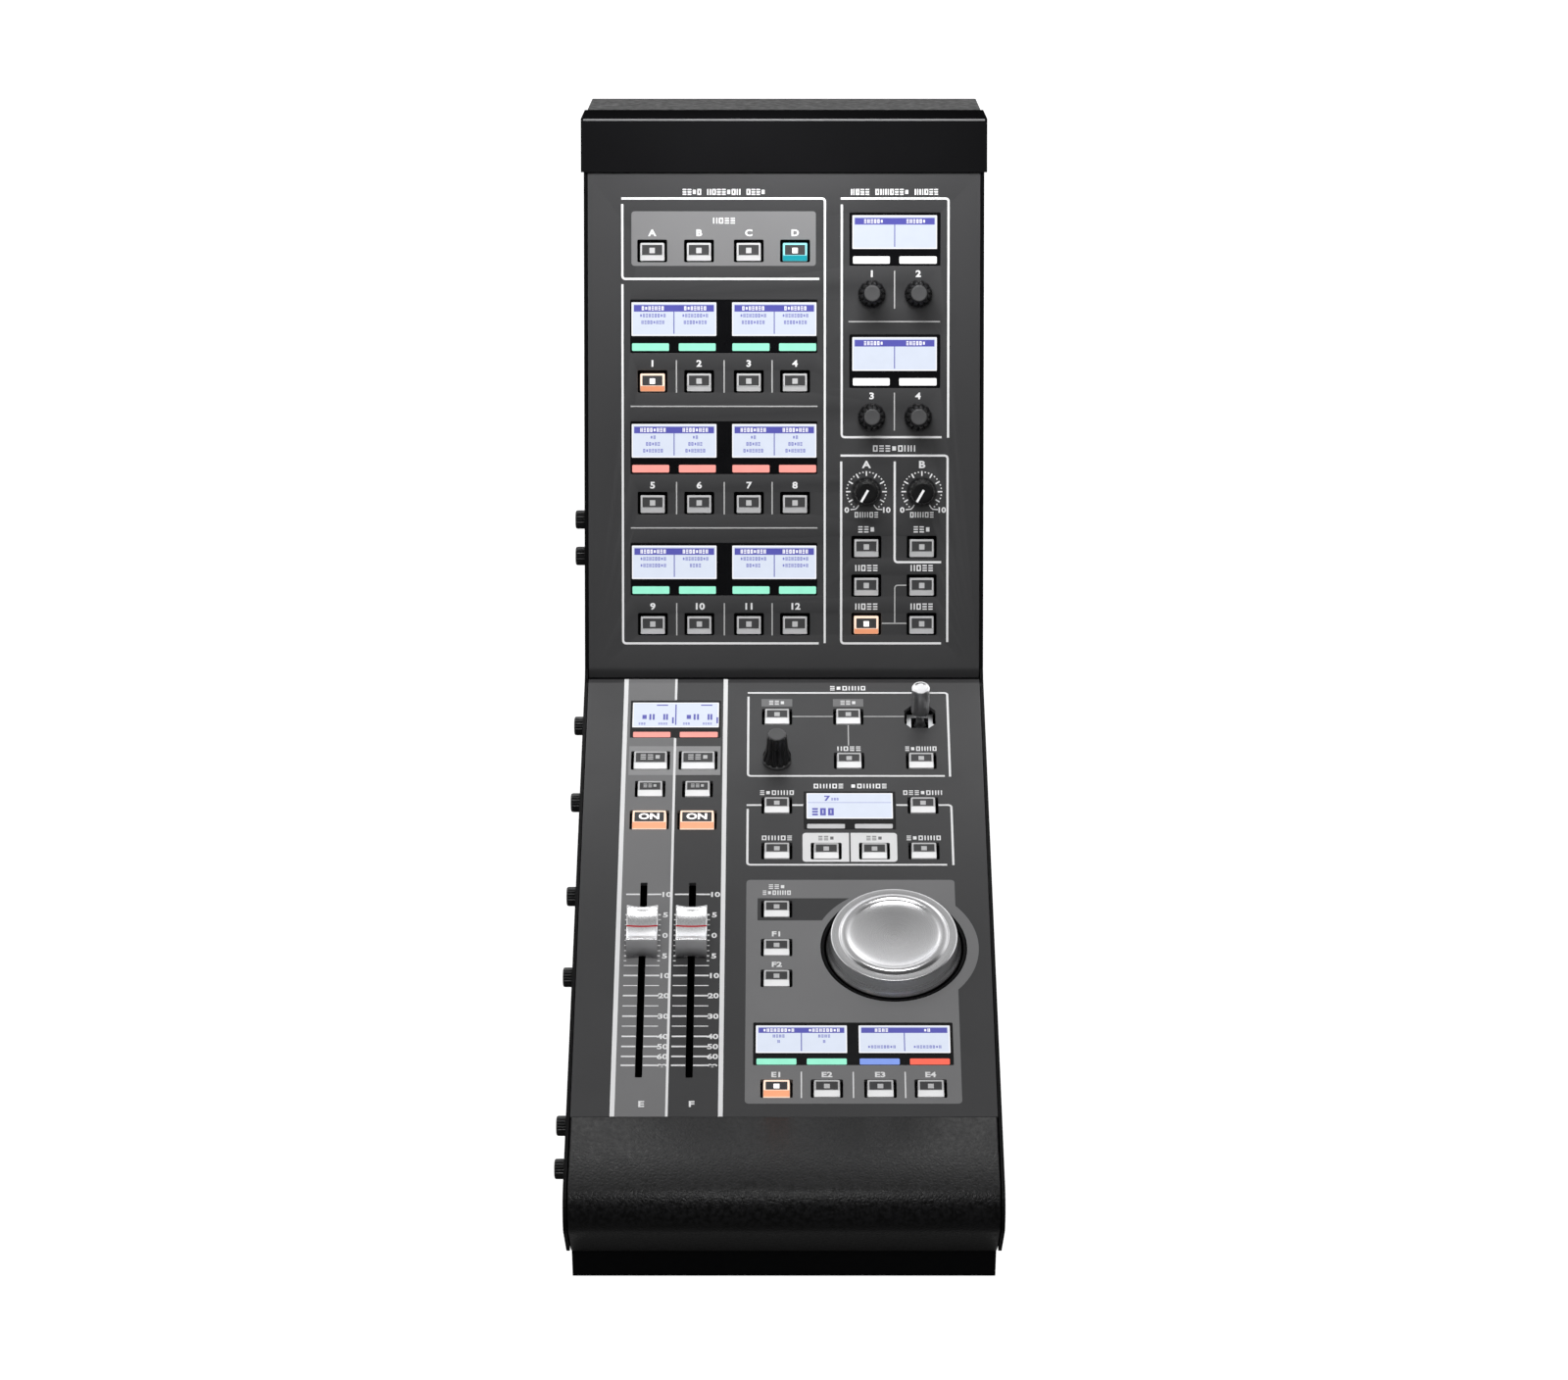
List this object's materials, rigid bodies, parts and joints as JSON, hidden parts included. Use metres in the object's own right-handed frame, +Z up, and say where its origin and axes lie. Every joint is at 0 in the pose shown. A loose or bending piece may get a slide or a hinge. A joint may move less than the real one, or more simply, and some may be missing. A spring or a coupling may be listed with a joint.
{
  "type": "audio mixing control desk",
  "caption": "Narrow wedge-shaped desk controller with two faders, jog wheel, joystick, small lit displays, rows of keys, turning knobs and a padded armrest.",
  "frame": {"origin": "on the floor, at the centre of the whole object's box", "axes": "+X to the user's right, +Y from the armrest towards the back, +Z up"},
  "size_m": [0.191, 0.56, 0.3273],
  "materials": {
    "panel_paint": "satin dark grey paint",
    "case_paint": "fine textured black powder coat",
    "armrest_leather": "black leather-grain pad",
    "key_plastic": "translucent grey key cap with dark face",
    "knob_plastic": "black moulded plastic",
    "wheel_metal": "fine satin metal",
    "fader_silver": "silver lacquered plastic",
    "plated_steel": "bright plated sheet",
    "circuit_board": "green solder mask",
    "foot_rubber": "matt rubber",
    "display": "lit display behind a black window",
    "print": "printed light grey and white markings"
  },
  "bodies": {
    "desk_body": {"base_tray": "case_paint", "left_side_panel": "case_paint", "right_side_panel": "case_paint", "upper_panel": "panel_paint", "lower_panel": "panel_paint", "rear_panel": "case_paint", "top_cover": "case_paint", "armrest": "armrest_leather", "upper_display_board": "circuit_board", "lower_display_board": "circuit_board", "power_supply": "plated_steel", "fader_unit": "plated_steel", "jog_bearing": "knob_plastic", "joining_stud_rail": "knob_plastic", "front_foot_bar": "foot_rubber", "rear_foot_bar": "foot_rubber", "rear_connectors": "knob_plastic"},
    "fader_e": {"fader_e": "fader_silver"},
    "fader_f": {"fader_f": "fader_silver"},
    "jog_wheel": {"jog_wheel": "wheel_metal"},
    "joystick_gimbal": {"joystick_gimbal": "plated_steel"},
    "joystick_stick": {"joystick_stick": "wheel_metal"},
    "user_knob_1": {"user_knob_1": "knob_plastic"},
    "user_knob_2": {"user_knob_2": "knob_plastic"},
    "user_knob_3": {"user_knob_3": "knob_plastic"},
    "user_knob_4": {"user_knob_4": "knob_plastic"},
    "level_knob_a": {"level_knob_a": "knob_plastic"},
    "level_knob_b": {"level_knob_b": "knob_plastic"},
    "panner_knob": {"panner_knob": "knob_plastic"},
    "power_switch": {"power_switch": "knob_plastic"},
    "dim_key_a": {"dim_key_a": "key_plastic"},
    "dim_key_b": {"dim_key_b": "key_plastic"},
    "mono_key": {"mono_key": "key_plastic"},
    "alternate_key_2": {"alternate_key_2": "key_plastic"},
    "main_key": {"main_key": "key_plastic"},
    "alternate_key_1": {"alternate_key_1": "key_plastic"},
    "bank_keys": {"bank_keys": "key_plastic"},
    "user_keys_row_1": {"user_keys_row_1": "key_plastic"},
    "user_keys_row_2": {"user_keys_row_2": "key_plastic"},
    "user_keys_row_3": {"user_keys_row_3": "key_plastic"},
    "select_key_e": {"select_key_e": "key_plastic"},
    "select_key_f": {"select_key_f": "key_plastic"},
    "cue_key_e": {"cue_key_e": "key_plastic"},
    "cue_key_f": {"cue_key_f": "key_plastic"},
    "on_key_e": {"on_key_e": "key_plastic"},
    "on_key_f": {"on_key_f": "key_plastic"},
    "relative_key": {"relative_key": "key_plastic"},
    "absolute_key": {"absolute_key": "key_plastic"},
    "grab_key": {"grab_key": "key_plastic"},
    "assign_key": {"assign_key": "key_plastic"},
    "update_key": {"update_key": "key_plastic"},
    "preview_key": {"preview_key": "key_plastic"},
    "store_key": {"store_key": "key_plastic"},
    "decrease_key": {"decrease_key": "key_plastic"},
    "increase_key": {"increase_key": "key_plastic"},
    "recall_key": {"recall_key": "key_plastic"},
    "jog_key": {"jog_key": "key_plastic"},
    "function_key_1": {"function_key_1": "key_plastic"},
    "function_key_2": {"function_key_2": "key_plastic"},
    "effect_keys": {"effect_keys": "key_plastic"}
  },
  "joints": [
    {"name": "fader_e_slide", "type": "slide", "parent": "desk_body", "child": "fader_e", "axis": [0, 0.9903, 0.1392], "range_m": [-0.0736, 0.0273]},
    {"name": "fader_f_slide", "type": "slide", "parent": "desk_body", "child": "fader_f", "axis": [0, 0.9903, 0.1392], "range_m": [-0.0736, 0.0273]},
    {"name": "jog_spin", "type": "hinge", "parent": "desk_body", "child": "jog_wheel", "pos_m": [0.04992, -0.13476, 0.08567], "axis": [0, -0.1392, 0.9903], "continuous": true},
    {"name": "joystick_pitch", "type": "hinge", "parent": "desk_body", "child": "joystick_gimbal", "pos_m": [0.06438, 0.00937, 0.09986], "axis": [1, 0, 0], "range_deg": [-20, 20]},
    {"name": "joystick_roll", "type": "hinge", "parent": "joystick_gimbal", "child": "joystick_stick", "pos_m": [0.06438, 0.00937, 0.09986], "axis": [0, 0.9903, 0.1392], "range_deg": [-20, 20]},
    {"name": "user_knob_1_turn", "type": "hinge", "parent": "desk_body", "child": "user_knob_1", "pos_m": [0.04238, 0.13072, 0.25857], "axis": [0, -0.8443, 0.5358], "continuous": true},
    {"name": "user_knob_2_turn", "type": "hinge", "parent": "desk_body", "child": "user_knob_2", "pos_m": [0.06388, 0.13072, 0.25857], "axis": [0, -0.8443, 0.5358], "continuous": true},
    {"name": "user_knob_3_turn", "type": "hinge", "parent": "desk_body", "child": "user_knob_3", "pos_m": [0.04238, 0.10028, 0.21061], "axis": [0, -0.8443, 0.5358], "continuous": true},
    {"name": "user_knob_4_turn", "type": "hinge", "parent": "desk_body", "child": "user_knob_4", "pos_m": [0.06388, 0.10028, 0.21061], "axis": [0, -0.8443, 0.5358], "continuous": true},
    {"name": "level_knob_a_turn", "type": "hinge", "parent": "desk_body", "child": "level_knob_a", "pos_m": [0.03997, 0.0818, 0.18148], "axis": [0, -0.8443, 0.5358], "range_deg": [-300, 0]},
    {"name": "level_knob_b_turn", "type": "hinge", "parent": "desk_body", "child": "level_knob_b", "pos_m": [0.06567, 0.0818, 0.18148], "axis": [0, -0.8443, 0.5358], "range_deg": [-300, 0]},
    {"name": "panner_knob_turn", "type": "hinge", "parent": "desk_body", "child": "panner_knob", "pos_m": [-0.00143, -0.01988, 0.10181], "axis": [0, -0.1392, 0.9903], "continuous": true},
    {"name": "power_switch_rock", "type": "hinge", "parent": "desk_body", "child": "power_switch", "pos_m": [0.04677, 0.272, 0.084], "axis": [1, 0, 0], "range_deg": [-14, 0]},
    {"name": "dim_key_a_press", "type": "slide", "parent": "desk_body", "child": "dim_key_a", "axis": [0, 0.8443, -0.5358], "range_m": [0, 0.0015], "stiffness_N_per_m": 300},
    {"name": "dim_key_b_press", "type": "slide", "parent": "desk_body", "child": "dim_key_b", "axis": [0, 0.8443, -0.5358], "range_m": [0, 0.0015], "stiffness_N_per_m": 300},
    {"name": "mono_key_press", "type": "slide", "parent": "desk_body", "child": "mono_key", "axis": [0, 0.8443, -0.5358], "range_m": [0, 0.0015], "stiffness_N_per_m": 300},
    {"name": "alternate_key_2_press", "type": "slide", "parent": "desk_body", "child": "alternate_key_2", "axis": [0, 0.8443, -0.5358], "range_m": [0, 0.0015], "stiffness_N_per_m": 300},
    {"name": "main_key_press", "type": "slide", "parent": "desk_body", "child": "main_key", "axis": [0, 0.8443, -0.5358], "range_m": [0, 0.0015], "stiffness_N_per_m": 300},
    {"name": "alternate_key_1_press", "type": "slide", "parent": "desk_body", "child": "alternate_key_1", "axis": [0, 0.8443, -0.5358], "range_m": [0, 0.0015], "stiffness_N_per_m": 300},
    {"name": "bank_keys_press", "type": "slide", "parent": "desk_body", "child": "bank_keys", "axis": [0, 0.8443, -0.5358], "range_m": [0, 0.0015], "stiffness_N_per_m": 300},
    {"name": "user_keys_row_1_press", "type": "slide", "parent": "desk_body", "child": "user_keys_row_1", "axis": [0, 0.8443, -0.5358], "range_m": [0, 0.0015], "stiffness_N_per_m": 300},
    {"name": "user_keys_row_2_press", "type": "slide", "parent": "desk_body", "child": "user_keys_row_2", "axis": [0, 0.8443, -0.5358], "range_m": [0, 0.0015], "stiffness_N_per_m": 300},
    {"name": "user_keys_row_3_press", "type": "slide", "parent": "desk_body", "child": "user_keys_row_3", "axis": [0, 0.8443, -0.5358], "range_m": [0, 0.0015], "stiffness_N_per_m": 300},
    {"name": "select_key_e_press", "type": "slide", "parent": "desk_body", "child": "select_key_e", "axis": [0, 0.1392, -0.9903], "range_m": [0, 0.0015], "stiffness_N_per_m": 300},
    {"name": "select_key_f_press", "type": "slide", "parent": "desk_body", "child": "select_key_f", "axis": [0, 0.1392, -0.9903], "range_m": [0, 0.0015], "stiffness_N_per_m": 300},
    {"name": "cue_key_e_press", "type": "slide", "parent": "desk_body", "child": "cue_key_e", "axis": [0, 0.1392, -0.9903], "range_m": [0, 0.0015], "stiffness_N_per_m": 300},
    {"name": "cue_key_f_press", "type": "slide", "parent": "desk_body", "child": "cue_key_f", "axis": [0, 0.1392, -0.9903], "range_m": [0, 0.0015], "stiffness_N_per_m": 300},
    {"name": "on_key_e_press", "type": "slide", "parent": "desk_body", "child": "on_key_e", "axis": [0, 0.1392, -0.9903], "range_m": [0, 0.0015], "stiffness_N_per_m": 300},
    {"name": "on_key_f_press", "type": "slide", "parent": "desk_body", "child": "on_key_f", "axis": [0, 0.1392, -0.9903], "range_m": [0, 0.0015], "stiffness_N_per_m": 300},
    {"name": "relative_key_press", "type": "slide", "parent": "desk_body", "child": "relative_key", "axis": [0, 0.1392, -0.9903], "range_m": [0, 0.0015], "stiffness_N_per_m": 300},
    {"name": "absolute_key_press", "type": "slide", "parent": "desk_body", "child": "absolute_key", "axis": [0, 0.1392, -0.9903], "range_m": [0, 0.0015], "stiffness_N_per_m": 300},
    {"name": "grab_key_press", "type": "slide", "parent": "desk_body", "child": "grab_key", "axis": [0, 0.1392, -0.9903], "range_m": [0, 0.0015], "stiffness_N_per_m": 300},
    {"name": "assign_key_press", "type": "slide", "parent": "desk_body", "child": "assign_key", "axis": [0, 0.1392, -0.9903], "range_m": [0, 0.0015], "stiffness_N_per_m": 300},
    {"name": "update_key_press", "type": "slide", "parent": "desk_body", "child": "update_key", "axis": [0, 0.1392, -0.9903], "range_m": [0, 0.0015], "stiffness_N_per_m": 300},
    {"name": "preview_key_press", "type": "slide", "parent": "desk_body", "child": "preview_key", "axis": [0, 0.1392, -0.9903], "range_m": [0, 0.0015], "stiffness_N_per_m": 300},
    {"name": "store_key_press", "type": "slide", "parent": "desk_body", "child": "store_key", "axis": [0, 0.1392, -0.9903], "range_m": [0, 0.0015], "stiffness_N_per_m": 300},
    {"name": "decrease_key_press", "type": "slide", "parent": "desk_body", "child": "decrease_key", "axis": [0, 0.1392, -0.9903], "range_m": [0, 0.0015], "stiffness_N_per_m": 300},
    {"name": "increase_key_press", "type": "slide", "parent": "desk_body", "child": "increase_key", "axis": [0, 0.1392, -0.9903], "range_m": [0, 0.0015], "stiffness_N_per_m": 300},
    {"name": "recall_key_press", "type": "slide", "parent": "desk_body", "child": "recall_key", "axis": [0, 0.1392, -0.9903], "range_m": [0, 0.0015], "stiffness_N_per_m": 300},
    {"name": "jog_key_press", "type": "slide", "parent": "desk_body", "child": "jog_key", "axis": [0, 0.1392, -0.9903], "range_m": [0, 0.0015], "stiffness_N_per_m": 300},
    {"name": "function_key_1_press", "type": "slide", "parent": "desk_body", "child": "function_key_1", "axis": [0, 0.1392, -0.9903], "range_m": [0, 0.0015], "stiffness_N_per_m": 300},
    {"name": "function_key_2_press", "type": "slide", "parent": "desk_body", "child": "function_key_2", "axis": [0, 0.1392, -0.9903], "range_m": [0, 0.0015], "stiffness_N_per_m": 300},
    {"name": "effect_keys_press", "type": "slide", "parent": "desk_body", "child": "effect_keys", "axis": [0, 0.1392, -0.9903], "range_m": [0, 0.0015], "stiffness_N_per_m": 300}
  ]
}
